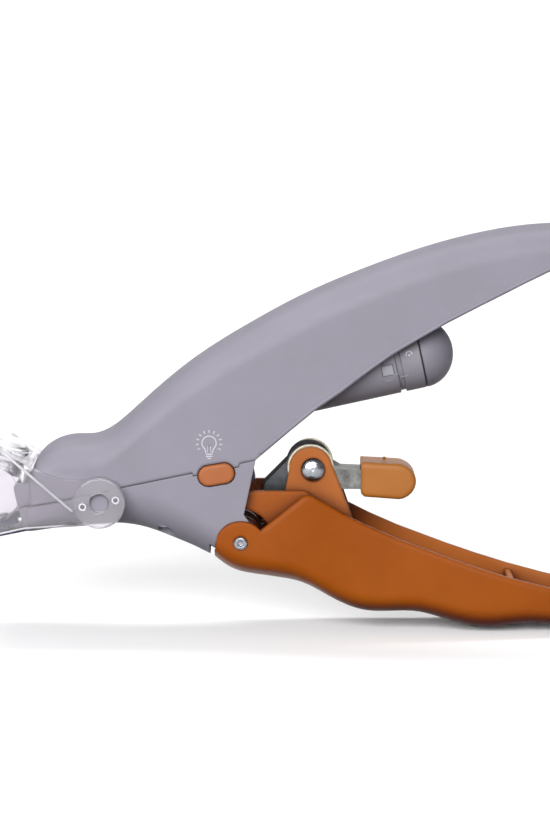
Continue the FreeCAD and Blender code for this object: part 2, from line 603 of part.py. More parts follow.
EAR_CENTRE = Vec(LOCK.x - 0.55, 0, LOCK.z + 0.2)
EAR = arc_points(EAR_CENTRE, 5.35, 185, 10, 10) + [(10.7, 34.6), (12.3, 30.0), (13.4, 26.0), (16.0, 14.0),
      (16.0, 6.1), (8.0, 9.2), (2.0, 12.2), (-6.0, 14.3), (-5.4, 30.0), (-3.7, 35.5)]
side_plates(lever, "Pad", lambda s: polygon(s, EAR), "ear_inner", "ear_outer", "ear")
ARM = arc_points(DRIVE, 3.0, 190, -10, 12) + [(-9.5, 28.0), (-7.5, 14.6), (-12.0, 15.2),
      (-18.4, 17.2), (-19.0, 27.0)]
side_plates(lever, "Pad", lambda s: polygon(s, ARM), "arm_inner", "arm_outer", "arm")

# clearance slot round the boss, and the holes for the pins
slot = new_sketch(lever, "XZ_Plane", 0, "arc_slot")
polygon(slot, arc_points(PIVOT, 7.8, 100, 15, 8) + arc_points(PIVOT, 5.0, 15, 100, 8))
extrude(lever, "Pocket", slot, "2 * <panel_outer> + 0.2", symmetric=True, name="arc_slot_cut")
for place, radius, name in (
    (PIVOT, "<pivot_pin_radius> + <running_gap>", "pivot_hole"),
    (DRIVE, "<drive_pin_radius>", "drive_hole"),
    (LOCK, "<lock_pin_radius>", "lock_hole"),
):
    hole = new_sketch(lever, "XZ_Plane", 0, name)
    circle(hole, (place.x, place.z), radius)
    extrude(lever, "Pocket", hole, 40.0, symmetric=True, name=name + "_cut")

# stiffening ribs across the grip's floor
RIBS = [(30.0, 3.7, 13.0, 10.6), (53.0, 0.5, 12.2, 10.4), (69.0, 0.3, 6.6, 9.4)]
for number, (rib_x, floor, rib_top, reach) in enumerate(RIBS):
    rib = new_sketch(lever, "YZ_Plane", rib_x, "rib_%d" % number)
    polygon(rib, [(-reach, floor + 4.6), (2.0 - reach, floor + 2.4), (0.0, floor + 1.2),
                  (reach - 2.0, floor + 2.4), (reach, floor + 4.6), (reach, rib_top),
                  (-reach, rib_top)])
    extrude(lever, "Pad", rib, 1.4, symmetric=True, name="rib_%d_pad" % number)

# soft edge along the cheeks' rim
def between(line, x):
    """Height of a line of points at x, or None beyond its ends."""
    for (x0, z0), (x1, z1) in zip(line, line[1:]):
        if x0 - 0.01 <= x <= x1 + 0.01:
            return z0 + (z1 - z0) * (x - x0) / (x1 - x0)
    return None


OUTER_FACE = [(station[0], station[3]) for station in LEVER]


def on_outer_rim(edge):
    """True for an edge that follows the rim on the outer face, short of the tip."""
    if edge.Length < 0.5 or edge.CenterOfMass.x > 62.0:
        return False
    for point in (edge.CenterOfMass, edge.valueAt(edge.FirstParameter), edge.valueAt(edge.LastParameter)):
        height = between(LEVER_RIM, point.x)
        half = between(OUTER_FACE, point.x)
        if height is None or abs(height - point.z) > 0.15 or abs(point.y) < half - 0.8:
            return False
    return True


fillet(lever, find_edges(lever, on_outer_rim), 0.9, name="rim_rounding")

# ---------------------------------------------------------------- pins, rivets, washers
def turned_y(name, centre, points):
    """A turned piece whose axis runs across the tool; points are (radius, y)."""
    body = new_body(name, Place(centre, Rot(Vec(1, 0, 0), -90)))
    revolve(body, points)
    return body


r = VALUE["pivot_pin_radius"]
head = VALUE["pivot_head_radius"]
turned_y("pivot_screw", PIVOT, [
    (0, -15.45), (0.5, -15.45), (0.9, -15.85), (head - 0.35, -15.85), (head, -15.6),
    (head, -15.25), (r, -15.25), (r, 15.25), (head, 15.25), (head, 15.7), (1.2, 15.95), (0, 15.95)])
turned_y("drive_pin", DRIVE, [(0, -6.0), (1.2, -6.0), (1.5, -5.7), (1.5, 5.7), (1.2, 6.0), (0, 6.0)])
rr, rh = VALUE["lock_pin_radius"], VALUE["lock_head_radius"]
dome = [(rh * math.sin(math.radians(k)), -7.95 - 1.5 * math.cos(math.radians(k)))
        for k in range(0, 91, 15)]
turned_y("lock_rivet", LOCK, [(0, -9.45)] + dome[1:] + [(rh, -7.85), (rr, -7.85), (rr, 7.85),
         (2.2, 7.85), (2.2, 8.5), (1.8, 8.8), (0, 8.8)])


def gather(name, pieces):
    """One node made of several identical loose pieces."""
    group = doc.addObject("Part::Compound", name)
    group.Label = name
    group.Links = pieces
    return group


def ring_y(name, centre, outer, hole_centre, inner, low, high):
    """A flat shim across the tool, its hole at its own centre or off it."""
    disc = doc.addObject("Part::Feature", name)
    shape = Part.makeCylinder(outer, high - low, Vec(centre.x, low, centre.z), Vec(0, 1, 0))
    bore = Part.makeCylinder(inner, high - low, Vec(hole_centre.x, low, hole_centre.z), Vec(0, 1, 0))
    disc.Shape = shape.cut(bore)
    return disc


gather("lock_washers", [
    ring_y("washer_near", EAR_CENTRE, 5.75, LOCK, rr + 0.05, -5.55, -5.1),
    ring_y("washer_far", EAR_CENTRE, 5.75, LOCK, rr + 0.05, 5.1, 5.55),
])

# ---------------------------------------------------------------- lock lever and its grip
lock = new_body("lock_lever")
LOCK_BACK = Vec(LOCK.x - 0.9, 0, LOCK.z + 0.2)
LOCK_SIDE = arc_points(LOCK_BACK, 5.6, 112, 8, 8) + [(10.2, 40.2), (19.0, 39.8), (19.0, 35.3),
            (8.6, 35.4)] + arc_points(LOCK_BACK, 5.6, -55, -115, 12) + [(-7.2, 32.6), (-9.4, 33.0),
            (-9.0, 36.4)] + arc_points(LOCK_BACK, 5.6, 165, 122, 8)
side_plates(lock, "Pad", lambda s: polygon(s, LOCK_SIDE), "lock_inner", "lock_outer", "cheek")
web = new_sketch(lock, "XZ_Plane", 0, "web")
polygon(web, [(8.0, 40.3), (10.2, 40.2), (19.0, 39.8), (19.0, 38.9), (10.2, 39.3), (8.0, 39.4)])
extrude(lock, "Pad", web, "2 * <lock_inner> + 0.4", symmetric=True, name="web_pad")
web = new_sketch(lock, "XZ_Plane", 0, "hook_web")
polygon(web, [(-7.2, 32.6), (-9.4, 33.0), (-9.3, 33.9), (-7.1, 33.5)])
extrude(lock, "Pad", web, "2 * <lock_inner> + 0.4", symmetric=True, name="hook_web_pad")
hole = new_sketch(lock, "XZ_Plane", 0, "hole")
circle(hole, (LOCK.x, LOCK.z), "<lock_pin_radius> + <running_gap>")
extrude(lock, "Pocket", hole, 20.0, symmetric=True, name="hole_cut")

grip = new_body("lock_grip")
outline = new_sketch(grip, "XZ_Plane", 0, "outline")
smooth_outline(outline, [(15.2, 41.8), (15.5, 42.15), (24.6, 41.6), (26.9, 40.75), (28.4, 39.2),
                         (28.9, 37.2), (28.3, 35.1), (26.8, 33.5), (24.6, 32.75), (16.0, 33.4),
                         (15.2, 34.2)], [0, 1, 2, 8, 9, 10])
extrude(grip, "Pad", outline, 11.6, symmetric=True, name="pad")
fillet(grip, find_edges(grip, lambda e: abs(abs(e.CenterOfMass.y) - 5.8) < 0.01
                        and e.CenterOfMass.x > 15.6), 0.9)
socket = new_sketch(grip, "XZ_Plane", 0, "socket")
polygon(socket, [(10.0, 35.2), (19.1, 35.2), (19.1, 39.95), (10.0, 40.4)])
extrude(grip, "Pocket", socket, "2 * <lock_outer> + 0.1", symmetric=True, name="socket_cut")

# ---------------------------------------------------------------- blade slide
carrier = new_body("blade_carrier", SLIDE)
thick = VALUE["carrier_thick"]
TOP = 1.9
strip = new_sketch(carrier, "XZ_Plane", 0, "strip")
polygon(strip, [(57.0, TOP), (-3.4, TOP), (-5.4, 0.25), (-9.3, 0.25), (-9.3, 0.25 - thick),
                (-5.0, 0.25 - thick), (-3.0, TOP - thick), (57.0, TOP - thick)])
extrude(carrier, "Pad", strip, "2 * <carrier_half>", symmetric=True, name="strip_pad")
TAB = [(50.0, TOP), (50.0, -2.6), (51.5, -3.6), (55.8, -3.6), (57.0, -2.6), (57.0, TOP)]
side_plates(carrier, "Pad", lambda s: polygon(s, TAB), "tab_inner", "tab_outer", "tab")
FLANGE = [(-3.0, TOP - 0.3), (-2.95, -1.2), (-5.5, -1.5), (-5.5, -0.7), (-5.2, 0.1), (-3.5, TOP - 0.4)]
side_plates(carrier, "Pad", lambda s: polygon(s, FLANGE), "flange_inner", "carrier_half", "flange")
notch = new_sketch(carrier, "XZ_Plane", 0, "notch")
half_slot = VALUE["drive_pin_radius"] + 0.06
polygon(notch, [(DRIVE_ON_SLIDE.x - half_slot, -5.0), (DRIVE_ON_SLIDE.x + half_slot, -5.0),
                (DRIVE_ON_SLIDE.x + half_slot, 1.6), (DRIVE_ON_SLIDE.x - half_slot, 1.6)])
extrude(carrier, "Pocket", notch, "2 * <tab_outer> + 0.4", symmetric=True, name="notch_cut")
# narrow waist between the drive arms
for side in (-1, 1):
    waist = new_sketch(carrier, "XY_Plane", 10.0, "waist_%d" % (side + 1))
    polygon(waist, [(36.0, side * 2.9), (36.0, side * 8.0), (60.0, side * 8.0), (60.0, side * 2.9)])
    extrude(carrier, "Pocket", waist, 20.0, name="waist_%d_cut" % (side + 1))
rivets = new_sketch(carrier, "XY_Plane", 10.0, "rivet_holes")
RIVETS = [(-7.4, -2.8), (-7.4, 2.8)]
for place in RIVETS:
    circle(rivets, place, "0.75")
extrude(carrier, "Pocket", rivets, 20.0, name="rivet_holes_cut")

blade = new_body("cutting_blade", SLIDE)
profile = new_sketch(blade, "XZ_Plane", 0, "profile")
blade_low = -2.62
blade_top = blade_low + VALUE["blade_thick"]
polygon(profile, [(-5.6, blade_top), (-8.6, blade_top), (-10.0, blade_low), (-5.6, blade_low)])
extrude(blade, "Pad", profile, "2 * <carrier_half>", symmetric=True, name="pad")
for side in (-1, 1):
    nick = new_sketch(blade, "XY_Plane", 5.0, "shoulder_%d" % (side + 1))
    polygon(nick, [(-11.0, side * 3.6), (-11.0, side * 6.0), (-8.4, side * 6.0)])
    extrude(blade, "Pocket", nick, 12.0, name="shoulder_%d_cut" % (side + 1))
holes = new_sketch(blade, "XY_Plane", 5.0, "rivet_holes")
for place in RIVETS:
    circle(holes, place, "0.75")
extrude(blade, "Pocket", holes, 12.0, name="rivet_holes_cut")


def slide_rivet(name, place, low, high, head_low, head_high):
    """A small rivet square to the slide, with its head above."""
    pin = doc.addObject("Part::Feature", name)
    shank = Part.makeCylinder(0.74, high - low, Vec(place[0], place[1], low))
    cap = Part.makeCylinder(1.25, head_high - head_low, Vec(place[0], place[1], head_low))
    shape = shank.fuse(cap).removeSplitter()
    pin.Shape = shape.transformed(SLIDE.toMatrix())
    return pin


gather("blade_rivets", [
    slide_rivet("blade_rivet_%d" % number, place, blade_low + 0.05, 0.5, 0.27, 0.75)
    for number, place in enumerate(RIVETS)])

plate = new_body("ring_plate", SLIDE)
outline = new_sketch(plate, "XY_Plane", plate_top - VALUE["plate_thick"], "outline")
RING_X = -12.8
PLATE_HALF = VALUE["plate_half"]
plate_points = [(18.0, 4.6), (4.8, 4.6), (3.2, PLATE_HALF), (-11.0, PLATE_HALF)]
for degrees in range(80, -81, -16):
    turn = math.radians(degrees)
    plate_points.append((RING_X - 7.0 * math.cos(turn), PLATE_HALF * math.sin(turn)))
plate_points += [(-11.0, -PLATE_HALF), (3.2, -PLATE_HALF), (4.8, -4.6), (18.0, -4.6)]
polygon(outline, plate_points)
extrude(plate, "Pad", outline, "<plate_thick>", name="pad")
nail = new_sketch(plate, "XY_Plane", 0, "nail_hole")
pill(nail, (RING_X, 0.0), math.pi / 2, 2 * VALUE["nail_hole_half_width"], VALUE["nail_hole_length"])
extrude(plate, "Pocket", nail, 8.0, name="nail_hole_cut")
holes = new_sketch(plate, "XY_Plane", 0, "screw_holes")
for place in PLATE_RIVETS:
    circle(holes, place, "0.8")
extrude(plate, "Pocket", holes, 8.0, name="screw_holes_cut")
gather("plate_rivets", [
    slide_rivet("plate_rivet_%d" % number, place, -4.4, plate_top + 0.2, plate_top + 0.02,
                plate_top + 0.7)
    for number, place in enumerate(PLATE_RIVETS)])

# ---------------------------------------------------------------- hood
hood = new_body("hood_shell")
TOP_LINE = [(-57.3, 39.35), (-60.6, 40.0), (-65.2, 41.7), (-69.0, 43.8), (-74.0, 46.5),
            (-77.0, 47.6), (-81.0, 48.3), (-84.6, 47.9), (-87.0, 45.8), (-88.0, 42.0)]
hub_arc = arc_points(HUB, VALUE["hub_disc_radius"], -115, 110, 15)
outline = new_sketch(hood, "XZ_Plane", 0, "outline")
hood_points = hub_arc + TOP_LINE + [(-86.3, 24.8), (-84.6, 23.4), (-68.0, 26.9)]
smooth_outline(outline, hood_points, [0, len(hub_arc) - 1, len(hub_arc) + len(TOP_LINE) - 1,
                                      len(hub_arc) + len(TOP_LINE),
                                      len(hub_arc) + len(TOP_LINE) + 1,
                                      len(hub_arc) + len(TOP_LINE) + 2])
extrude(hood, "Pad", outline, "2 * <hood_outer>", symmetric=True, name="pad")
inside = new_sketch(hood, "XZ_Plane", 0, "inside")
polygon(inside, [(-40.0, 18.0), (-84.5, 18.0), (-85.0, 26.0), (-86.3, 42.0), (-85.6, 44.8),
                 (-84.0, 46.1), (-81.0, 45.6), (-78.0, 44.0), (-75.0, 42.4), (-72.6, 41.3),
                 (-70.8, 39.9), (-69.9, 38.3), (-68.3, 38.3), (-67.9, 40.9), (-66.4, 42.0),
                 (-62.0, 52.0), (-40.0, 52.0)])
extrude(hood, "Pocket", inside, "2 * <hood_inner>", symmetric=True, name="inside_cut")
hub_hole = new_sketch(hood, "XZ_Plane", 0, "hub_hole")
circle(hub_hole, (HUB.x, HUB.z), "<hub_boss_radius> + <running_gap>")
extrude(hood, "Pocket", hub_hole, 40.0, symmetric=True, name="hub_hole_cut")
STAKE_LINE = math.radians(11.7)
STAKES = [(HUB.x + side * VALUE["stake_reach"] * math.cos(STAKE_LINE),
           HUB.z + side * VALUE["stake_reach"] * math.sin(STAKE_LINE)) for side in (-1, 1)]


def draw_stakes(sketch):
    for place in STAKES:
        circle(sketch, place, "<stake_radius>")


side_plates(hood, "Pad", draw_stakes, "hood_mid", "stake_tip", "stake")
RIDGE = [(-73.4, 46.0), (-72.9, 46.45), (-55.75, 31.64), (-56.05, 30.9)]
side_plates(hood, "Pad", lambda s: polygon(s, RIDGE), "hood_mid", "ridge_tip", "ridge")

# the lens sits in a round seat through the sloping top
LENS_FRAME = Place(Vec(-75.5, 0, 46.2), Rot(Vec(0, 1, 0), 18.0))
seat = new_sketch(hood, "XY_Plane", 0, "lens_seat", turn=LENS_FRAME.Rotation,
                  at=LENS_FRAME.multVec(Vec(0, 0, 6.0)))
circle(seat, (0.0, 0.0), "<lens_radius> + 0.02")
extrude(hood, "Pocket", seat, 12.0, name="lens_seat_cut")

lens = new_body("magnifier_lens", LENS_FRAME)
LR = VALUE["lens_radius"]
top_bulge = [(LR * math.sin(math.radians(k)), 0.6 + 1.3 * math.cos(math.radians(k)))
             for k in range(0, 91, 10)]
low_bulge = [(LR * math.sin(math.radians(k)), -1.0 - 3.2 * math.cos(math.radians(k)))
             for k in range(90, -1, -10)]
profile = new_sketch(lens, "XZ_Plane", 0, "profile")
lens_points = top_bulge + low_bulge
smooth_outline(profile, lens_points, [0, 9, 10, len(lens_points) - 1])
turned = lens.newObject("PartDesign::Revolution", "lens_turned")
turned.Profile = profile
turned.ReferenceAxis = (profile, ["V_Axis"])
turned.Angle = 360
lens.Tip = turned

for side, label in ((-1, "near"), (1, "far")):
    disc = new_body("hub_disc_" + label)
    drawing = new_sketch(disc, "XZ_Plane", -side * 15.03, "disc")
    circle(drawing, (HUB.x, HUB.z), "<hub_disc_radius>")
    circle(drawing, (HUB.x, HUB.z), "<hub_boss_radius> + 0.2")
    for place in STAKES:
        circle(drawing, place, "<stake_radius> + 0.05")
    extrude(disc, "Pad", drawing, "<disc_outer> - 15.03", reverse=side == 1, name="pad")
    fillet(disc, find_edges(disc, lambda e: abs(abs(e.CenterOfMass.y) - VALUE["disc_outer"]) < 0.01
                            and e.Length > 30), 0.5)

# ---------------------------------------------------------------- battery tube and cap
tube = new_body("battery_tube", TUBE)
R, B = VALUE["tube_radius"], VALUE["tube_bore"]
revolve(tube, [(0, -30.0), (R - 0.6, -30.0), (R, -29.4), (R, -4.9), (R - 0.55, -4.7),
               (R - 0.55, -3.6), (R, -3.4), (R, 1.5), (B, 1.5), (B, -28.0), (0, -28.0)])
pane = new_sketch(tube, "XZ_Plane", 5.0, "pane")
polygon(pane, [(0.2, -8.6), (2.9, -8.6), (2.9, -5.6), (0.2, -5.6)])
extrude(tube, "Pocket", pane, 6.0, reverse=True, name="pane_cut")

cap = new_body("battery_cap", TUBE)
profile = new_sketch(cap, "XZ_Plane", 0, "profile")
CR, CD = VALUE["cap_radius"], VALUE["cap_dome"]
dome_points = [(CR * math.sin(math.radians(k)), 1.95 + CD * math.cos(math.radians(k)))
               for k in range(0, 91, 10)]
cap_points = dome_points + [(B - 0.1, 1.95), (B - 0.1, -2.6), (B - 1.4, -2.6), (B - 1.4, 2.5),
                            (B - 2.6, 4.6), (0.0, 5.0)]
smooth_outline(profile, cap_points, [0, 9, 10, 11, 12, 13, 14, 15])
turned = cap.newObject("PartDesign::Revolution", "cap_turned")
turned.Profile = profile
turned.ReferenceAxis = (profile, ["V_Axis"])
turned.Angle = 360
cap.Tip = turned

seal = new_body("cap_seal", TUBE)
revolve(seal, [(B, 1.52), (CR - 0.12, 1.52), (CR - 0.12, 1.93), (B, 1.93)])

cells = []
for number in range(4):
    low = -25.6 + number * VALUE["cell_height"]
    shape = Part.makeCylinder(VALUE["cell_radius"], VALUE["cell_height"] - 0.35, Vec(0, 0, low + 0.35))
    shape = shape.fuse(Part.makeCylinder(VALUE["cell_radius"] - 1.0, 0.34, Vec(0, 0, low + 0.01)))
    cell = doc.addObject("Part::Feature", "cell_%d" % number)
    cell.Shape = shape.removeSplitter().transformed(TUBE.toMatrix())
    cells.append(cell)
gather("button_cells", cells)


def coil(radius, wire, pitch, height, narrow=0.0, steps=20):
    """A round-wire helix along Z from the origin, as short mitred lengths; narrow is its cone angle."""
    turns = height / pitch
    count = int(round(turns * steps))
    points = []
    for k in range(count + 1):
        share = k / count
        reach = radius + math.tan(math.radians(narrow)) * height * share
        angle = 2 * math.pi * turns * share
        points.append(Vec(reach * math.cos(angle), reach * math.sin(angle), height * share))
    section = Part.Wire([Part.makeCircle(wire / 2, points[0], points[1] - points[0])])
    return Part.makePolygon(points).makePipeShell([section], True, False, 1)


def spring(name, shape, place):
    """Store a wire spring as its own node."""
    thing = doc.addObject("Part::Feature", name)
    thing.Label = name
    thing.Shape = shape.transformed(place.toMatrix())
    return thing


spring("front_contact", coil(4.4, 0.5, 1.0, 1.75, -12.0), TUBE.multiply(Place(Vec(0, 0, -27.72),
                                                                       Rot())))
spring("cap_contact", coil(4.2, 0.5, 2.2, 6.2, -14.0), TUBE.multiply(Place(Vec(0, 0, -3.65),
                                                                     Rot())))

# torsion spring round the pivot screw: one leg on the lever's floor, one on the housing's floor
turns = coil(2.7, 0.9, 1.0, 4.25, steps=16)
turns = turns.transformed(Place(Vec(0, 2.5, 0), Rot(Vec(1, 0, 0), 90)).toMatrix())
leg_down = Part.makeCylinder(0.45, 10.5, Vec(2.7, 2.5, 0), Vec(0.55, 0, -0.62))
leg_up = Part.makeCylinder(0.45, 10.0, Vec(0, -1.75, 2.7), Vec(-0.93, 0, -0.36))
spring("return_spring", turns.fuse([leg_down, leg_up]), Place(PIVOT, Rot()))

# ---------------------------------------------------------------- lamp, switch and button
lamp_at = Vec(-70.6, 0, 35.1)
lamp = new_body("led_lamp", Place(lamp_at, Rot(Vec(0, 1, 0), 90)))
LAMP = VALUE["lamp_radius"]
lamp_dome = [(LAMP * math.sin(math.radians(k)), -LAMP * math.cos(math.radians(k)) + LAMP)
             for k in range(0, 91, 15)]
revolve(lamp, [(0, 0)] + lamp_dome[1:] + [(LAMP, 5.2), (LAMP + 0.3, 5.2), (LAMP + 0.3, 6.2), (0, 6.2)])

board = doc.addObject("Part::Box", "switch_board")
board.Label = "switch_board"
board.Length, board.Width, board.Height = 15.0, 0.8, 8.6
BOARD_TURN = Rot(Vec(0, 1, 0), -9.5)
BOARD_AT = Vec(BUTTON_AT[0], 0, BUTTON_AT[1])
BOARD_PLACE = Place(BOARD_AT, BOARD_TURN)
board.Placement = BOARD_PLACE.multiply(Place(Vec(-7.5, -6.9, -3.0), Rot()))
switch = doc.addObject("Part::Feature", "tact_switch")
switch.Label = "tact_switch"
case = Part.makeBox(6.0, 1.7, 3.6, Vec(-3.0, -8.65, -1.8))
plunger = Part.makeCylinder(0.9, 0.3, Vec(0, -8.95, 0), Vec(0, 1, 0))
switch.Shape = case.fuse(plunger).transformed(BOARD_PLACE.toMatrix())

button = new_body("led_button")
face = new_sketch(button, "XZ_Plane", 11.0, "face")
pill(face, BUTTON_AT, BUTTON_TILT, VALUE["button_length"], VALUE["button_height"])
extrude(button, "Pad", face, 2.75, name="face_pad")
fillet(button, find_edges(button, lambda e: abs(e.CenterOfMass.y + 13.75) < 0.01), 0.7)
flange = new_sketch(button, "XZ_Plane", 10.3, "flange")
pill(flange, BUTTON_AT, BUTTON_TILT, VALUE["button_length"] + 1.5, VALUE["button_height"] + 1.5)
extrude(button, "Pad", flange, 0.6, name="flange_pad")
neck = new_sketch(button, "XZ_Plane", 10.8, "neck")
pill(neck, BUTTON_AT, BUTTON_TILT, VALUE["button_length"] - 0.4, VALUE["button_height"] - 0.4)
extrude(button, "Pad", neck, 0.4, name="neck_pad")
stem = new_sketch(button, "XZ_Plane", 9.6, "stem")
circle(stem, BUTTON_AT, "1.2")
extrude(button, "Pad", stem, 0.9, name="stem_pad")

# screws from below, and the lamp wires
screws = []
for x, y, floor in SCREWS:
    for side in (-1, 1):
        seat_z = floor + HEAD_SEAT
        shape = Part.makeCylinder(1.9, 1.5, Vec(x, side * y, seat_z - 1.5))
        shape = shape.fuse(Part.makeCylinder(0.94, seam_height(x) + 6.0 - seat_z,
                                             Vec(x, side * y, seat_z)))
        cross = Part.makeBox(2.4, 0.5, 0.7, Vec(x - 1.2, side * y - 0.25, seat_z - 1.5))
        cross = cross.fuse(Part.makeBox(0.5, 2.4, 0.7, Vec(x - 0.25, side * y - 1.2, seat_z - 1.5)))
        screw = doc.addObject("Part::Feature", "housing_screw")
        screw.Shape = shape.cut(cross).removeSplitter()
        screws.append(screw)
gather("housing_screws", screws)


def wire(points, radius):
    """A round insulated wire bent through the points."""
    curve = Part.BSplineCurve()
    curve.interpolate([Vec(*point) for point in points])
    edge = curve.toShape()
    start = edge.valueAt(edge.FirstParameter)
    tangent = edge.tangentAt(edge.FirstParameter)
    section = Part.Wire([Part.makeCircle(radius, start, tangent)])
    return Part.Wire([edge]).makePipeShell([section], True, True)


for name, side, shift in (("wire_live", -1, 0.0), ("wire_return", 1, 0.6)):
    run = wire([(-64.2, side * 0.9, 35.2), (-60.0, side * 2.5, 36.5 + shift),
                (-50.0, side * 4.4, 40.0 + shift), (-38.0, side * 4.5, 45.5 + shift),
                (-28.0, side * 4.5, 50.0 + shift), (-16.0, side * 5.4, 57.0 + shift),
                (-6.0, side * 4.0, 61.5), (-1.6, side * 2.0, 62.0)], 0.5)
    thing = doc.addObject("Part::Feature", name)
    thing.Label = name
    thing.Shape = run

# ---------------------------------------------------------------- check and write
NODES = [
    "upper_housing", "lower_housing", "lever_handle", "pivot_screw", "drive_pin", "lock_rivet",
    "lock_washers", "lock_lever", "lock_grip", "blade_carrier", "cutting_blade", "blade_rivets",
    "ring_plate", "plate_rivets", "hood_shell", "magnifier_lens", "hub_disc_near", "hub_disc_far",
    "battery_tube", "battery_cap", "cap_seal", "button_cells", "front_contact", "cap_contact",
    "return_spring", "led_lamp", "switch_board", "tact_switch", "led_button", "housing_screws",
    "wire_live", "wire_return",
]
doc.recompute()
for thing in doc.Objects:
    if "Invalid" in thing.State or "Error" in thing.State:
        raise RuntimeError("%s failed: %s" % (thing.Name, thing.State))
for node in NODES:
    shape = doc.getObjectsByLabel(node)[0].Shape
    if shape.isNull() or not shape.isValid() or not shape.Solids:
        raise RuntimeError(node + " has no valid solid")
    shape.exportStep("parts/%s.step" % node)
    box = shape.BoundBox
    print("%-16s solids %d volume %9.1f  x %7.2f %7.2f  y %6.2f %6.2f  z %6.2f %6.2f" % (
        node, len(shape.Solids), shape.Volume, box.XMin, box.XMax, box.YMin, box.YMax,
        box.ZMin, box.ZMax))
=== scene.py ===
import math

import bmesh
import bpy
from mathutils import Matrix, Vector


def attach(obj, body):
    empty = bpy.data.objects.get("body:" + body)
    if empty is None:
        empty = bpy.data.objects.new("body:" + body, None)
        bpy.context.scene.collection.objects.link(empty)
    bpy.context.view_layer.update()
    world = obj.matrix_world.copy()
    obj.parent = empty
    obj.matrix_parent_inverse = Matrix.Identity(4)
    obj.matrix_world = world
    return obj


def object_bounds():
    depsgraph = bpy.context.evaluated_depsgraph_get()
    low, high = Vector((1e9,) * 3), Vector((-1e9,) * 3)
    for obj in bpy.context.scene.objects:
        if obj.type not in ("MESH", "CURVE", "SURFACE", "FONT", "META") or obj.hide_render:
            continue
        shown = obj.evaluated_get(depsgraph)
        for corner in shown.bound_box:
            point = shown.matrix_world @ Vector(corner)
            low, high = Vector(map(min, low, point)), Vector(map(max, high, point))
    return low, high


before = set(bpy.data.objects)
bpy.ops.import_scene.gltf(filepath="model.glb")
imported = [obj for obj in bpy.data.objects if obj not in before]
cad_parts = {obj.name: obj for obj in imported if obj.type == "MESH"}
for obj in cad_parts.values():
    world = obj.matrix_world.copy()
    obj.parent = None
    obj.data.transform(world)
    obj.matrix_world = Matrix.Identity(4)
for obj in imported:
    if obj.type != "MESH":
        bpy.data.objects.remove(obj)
cad_low, cad_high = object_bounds()
MM = 0.001


# ---------------------------------------------------------------- materials
def linear(rgb):
    """0-255 display colour to linear."""
    return [(c / 255 / 12.92) if c <= 10 else ((c / 255 + 0.055) / 1.055) ** 2.4 for c in rgb] + [1.0]


def shader(name):
    """A new material, its node tree and its Principled shader."""
    mat = bpy.data.materials.new(name)
    mat.use_nodes = True
    tree = mat.node_tree
    return mat, tree, tree.nodes["Principled BSDF"]


def node(tree, kind, inputs=None, **settings):
    """Add a node, with its settings and input values."""
    made = tree.nodes.new(kind)
    for key, value in settings.items():
        setattr(made, key, value)
    for key, value in (inputs or {}).items():
        made.inputs[key].default_value = value
    return made


def noise(tree, per_metre, detail=2.0, rough=0.5, stretch=None):
    """Noise over the object's own coordinates."""
    where = node(tree, "ShaderNodeTexCoord")
    made = node(tree, "ShaderNodeTexNoise", {"Scale": per_metre, "Detail": detail, "Roughness": rough})
    if stretch:
        mapping = node(tree, "ShaderNodeMapping", {"Scale": stretch})
        tree.links.new(where.outputs["Object"], mapping.inputs["Vector"])
        tree.links.new(mapping.outputs["Vector"], made.inputs["Vector"])
    else:
        tree.links.new(where.outputs["Object"], made.inputs["Vector"])
    return made.outputs["Fac"]


def ramp(tree, source, stops):
    """A colour ramp fed by a value; stops are (place, display colour)."""
    made = node(tree, "ShaderNodeValToRGB")
    band = made.color_ramp
    while len(band.elements) < len(stops):
        band.elements.new(0.5)
    for element, (place, rgb) in zip(band.elements, stops):
        element.position = place
        element.color = linear(rgb)
    tree.links.new(source, made.inputs["Fac"])
    return made.outputs["Color"]


def spread(tree, source, low, high, from_low=0.3, from_high=0.7):
    """Map a noise value to a range."""
    made = node(tree, "ShaderNodeMapRange", {"From Min": from_low, "From Max": from_high,
                                             "To Min": low, "To Max": high})
    tree.links.new(source, made.inputs["Value"])
    return made.outputs["Result"]


def bump(tree, bsdf, layers, edge=0.25):
    """Stack of bump layers (height source, distance in mm, strength) over edges rounded by edge mm."""
    last = node(tree, "ShaderNodeBevel", {"Radius": edge * MM}, samples=4).outputs["Normal"]
    for source, distance, strength in layers:
        made = node(tree, "ShaderNodeBump", {"Distance": distance * MM, "Strength": strength})
        tree.links.new(source, made.inputs["Height"])
        tree.links.new(last, made.inputs["Normal"])
        last = made.outputs["Normal"]
    tree.links.new(last, bsdf.inputs["Normal"])


def blend_colours(tree, share, first, second):
    """Mix two colour sources by a value."""
    mix = node(tree, "ShaderNodeMix", data_type="RGBA")
    tree.links.new(share, mix.inputs["Factor"])
    tree.links.new(first, mix.inputs["A"])
    tree.links.new(second, mix.inputs["B"])
    return mix.outputs["Result"]


def along(tree, axis, low, high, both_sides=False):
    """0 to 1 as the object's own coordinate goes from low to high, in mm."""
    where = node(tree, "ShaderNodeTexCoord")
    parts = node(tree, "ShaderNodeSeparateXYZ")
    tree.links.new(where.outputs["Object"], parts.inputs["Vector"])
    source = parts.outputs[axis]
    if both_sides:
        size = node(tree, "ShaderNodeMath", operation="ABSOLUTE")
        tree.links.new(source, size.inputs[0])
        source = size.outputs["Value"]
    return spread(tree, source, 0.0, 1.0, low * MM, high * MM)


